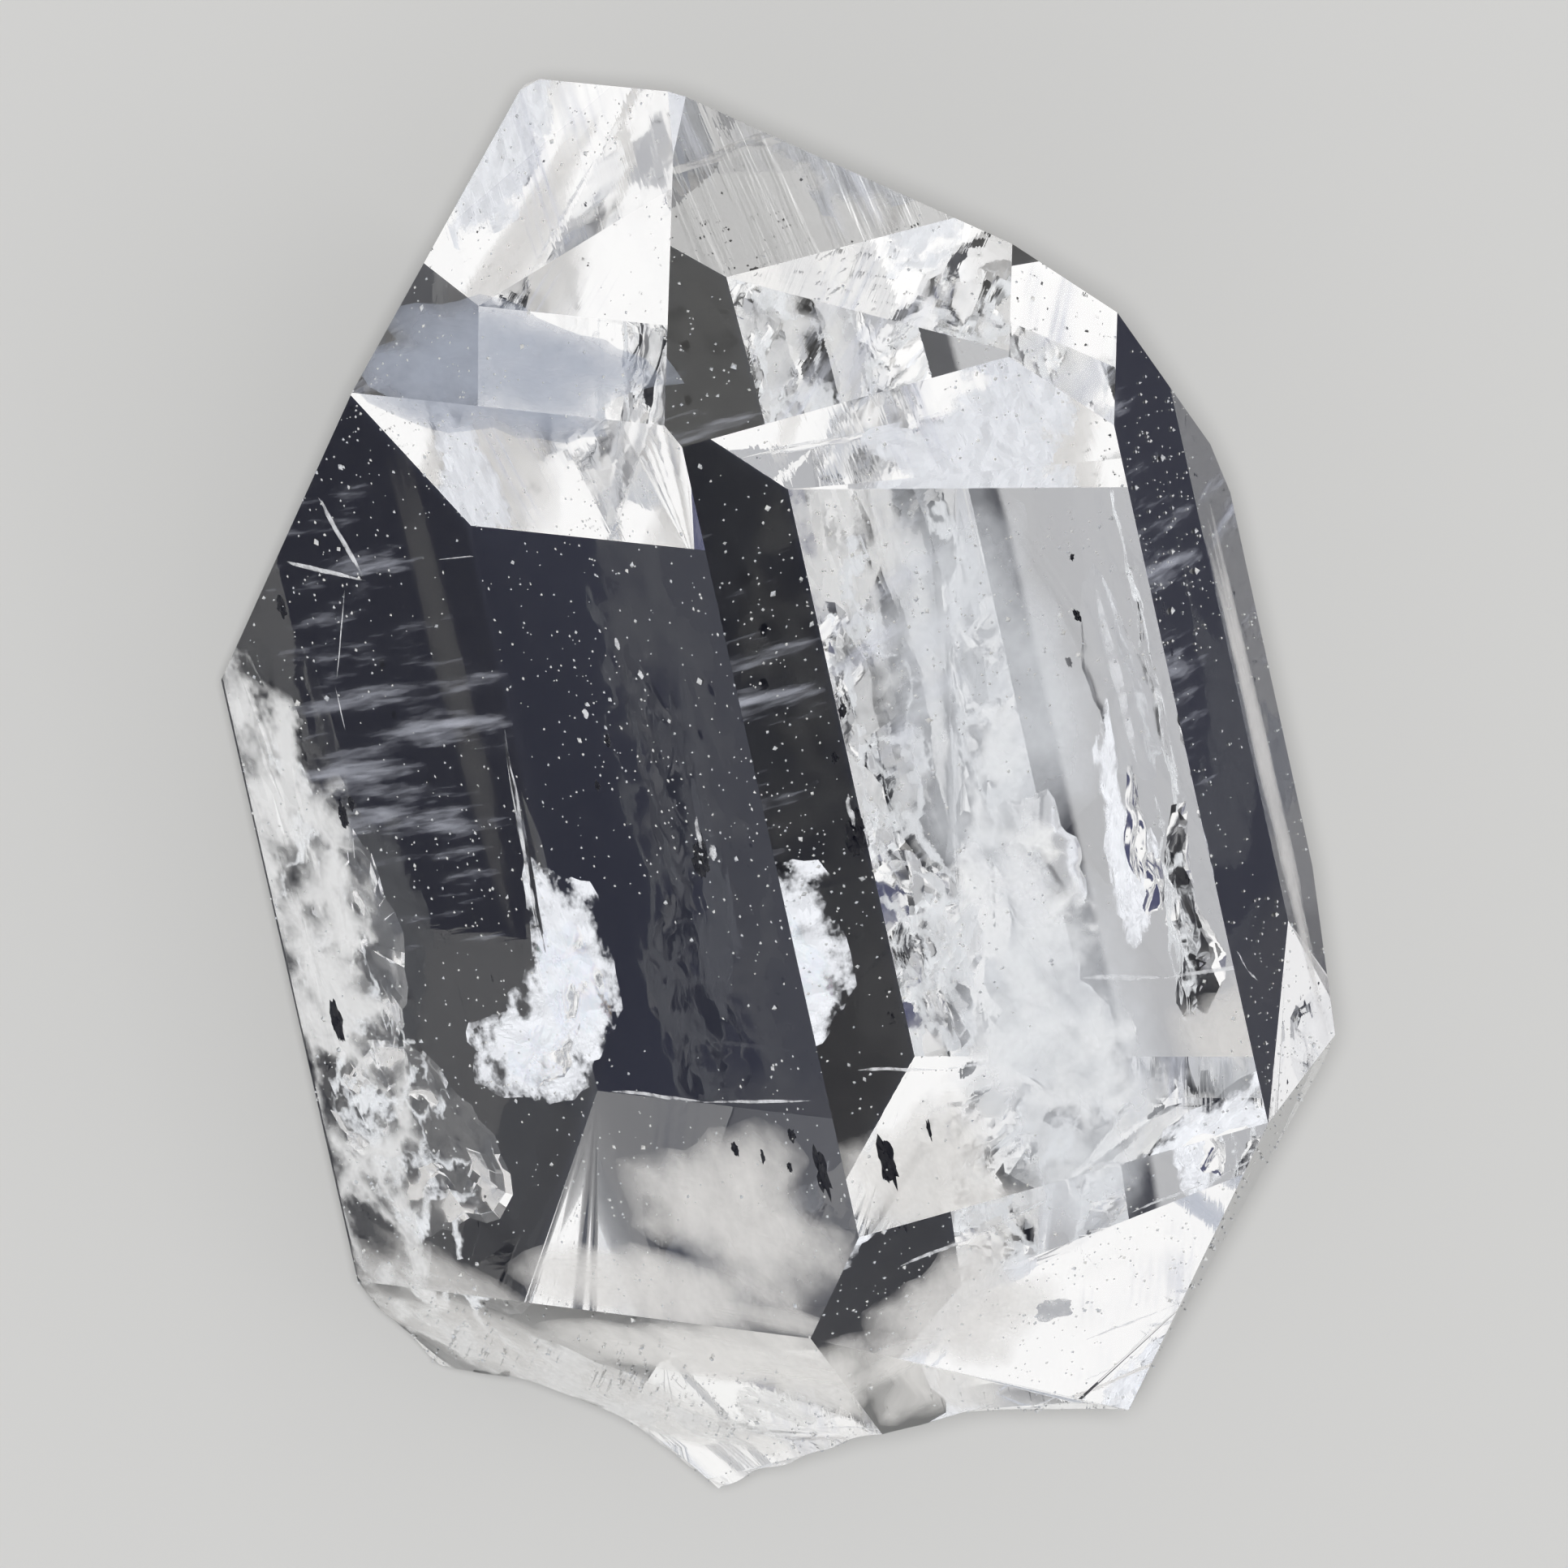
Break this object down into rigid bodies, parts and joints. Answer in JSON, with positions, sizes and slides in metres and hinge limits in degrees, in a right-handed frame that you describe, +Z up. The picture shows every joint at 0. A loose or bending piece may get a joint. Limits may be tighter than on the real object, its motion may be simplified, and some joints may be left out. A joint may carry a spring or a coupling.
{
  "type": "herkimer diamond, a clear quartz crystal",
  "caption": "Clear quartz crystal with flat prism faces, one whole point and one broken end, lying on a prism face.",
  "frame": {"origin": "centre of the bounding box in plan, on the plane that the crystal rests on", "axes": "+X along the crystal's length axis to its whole point, +Z up from the prism face it rests on, +Y across"},
  "size_m": [0.0264, 0.0166, 0.0156],
  "materials": {
    "clear_quartz": "water-clear quartz, mirror-smooth natural faces with faint growth lines across the prism, shell-shaped breaks at one end",
    "black_carbon": "matt black carbon specks sealed in the crystal",
    "white_veil": "silvery healed cracks and feathers inside the crystal",
    "pale_dust": "fine pale dust grains on the faces"
  },
  "bodies": {
    "root": {"quartz_crystal": "clear_quartz"}
  },
  "joints": []
}
